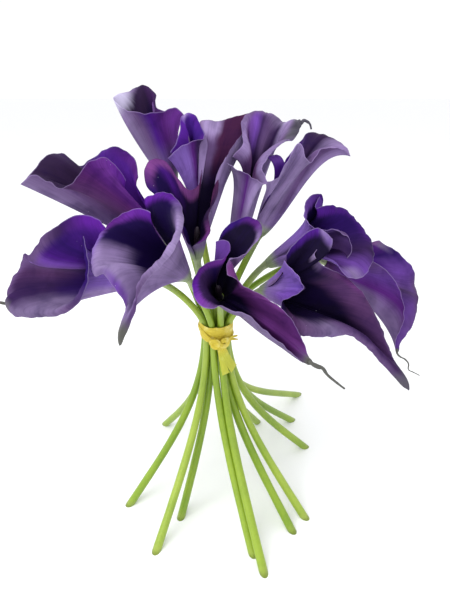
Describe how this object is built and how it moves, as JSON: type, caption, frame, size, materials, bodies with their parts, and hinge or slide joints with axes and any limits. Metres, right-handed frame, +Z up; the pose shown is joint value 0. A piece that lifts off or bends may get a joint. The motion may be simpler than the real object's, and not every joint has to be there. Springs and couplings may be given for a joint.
{
  "type": "tied bunch of calla lilies",
  "caption": "Hand-tied bunch of dark purple mini calla lilies: rolled trumpet flowers with long tails on green stems that a raffia tie gathers and that stand splayed on their cut ends.",
  "frame": {"origin": "middle of the whole bunch's box, on the surface that the cut stems stand on", "axes": "+Z up along the tied stems, +X to the right and +Y away as the picture looks at it"},
  "size_m": [0.3196, 0.2166, 0.3196],
  "materials": {
    "stem": "satin",
    "spathe_purple": "satin",
    "spathe_maroon": "satin",
    "spadix": "matte",
    "raffia": "dry fibre strip"
  },
  "bodies": {
    "root": {"stem_left_front": "stem", "spathe_left_front": "spathe_purple", "spadix_left_front": "spadix", "stem_left_low": "stem", "spathe_left_low": "spathe_purple", "spadix_left_low": "spadix", "stem_left_high": "stem", "spathe_left_high": "spathe_purple", "spadix_left_high": "spadix", "stem_upper_left": "stem", "spathe_upper_left": "spathe_purple", "spadix_upper_left": "spadix", "stem_upper_mid": "stem", "spathe_upper_mid": "spathe_purple", "spadix_upper_mid": "spadix", "stem_centre": "stem", "spathe_centre": "spathe_maroon", "spadix_centre": "spadix", "stem_centre_front": "stem", "spathe_centre_front": "spathe_maroon", "spadix_centre_front": "spadix", "stem_upper_back": "stem", "spathe_upper_back": "spathe_purple", "spadix_upper_back": "spadix", "stem_upper_right": "stem", "spathe_upper_right": "spathe_purple", "spadix_upper_right": "spadix", "stem_right_high": "stem", "spathe_right_high": "spathe_purple", "spadix_right_high": "spadix", "stem_right_front": "stem", "spathe_right_front": "spathe_purple", "spadix_right_front": "spadix", "stem_right_far": "stem", "spathe_right_far": "spathe_purple", "spadix_right_far": "spadix", "tie": "raffia"}
  },
  "joints": []
}
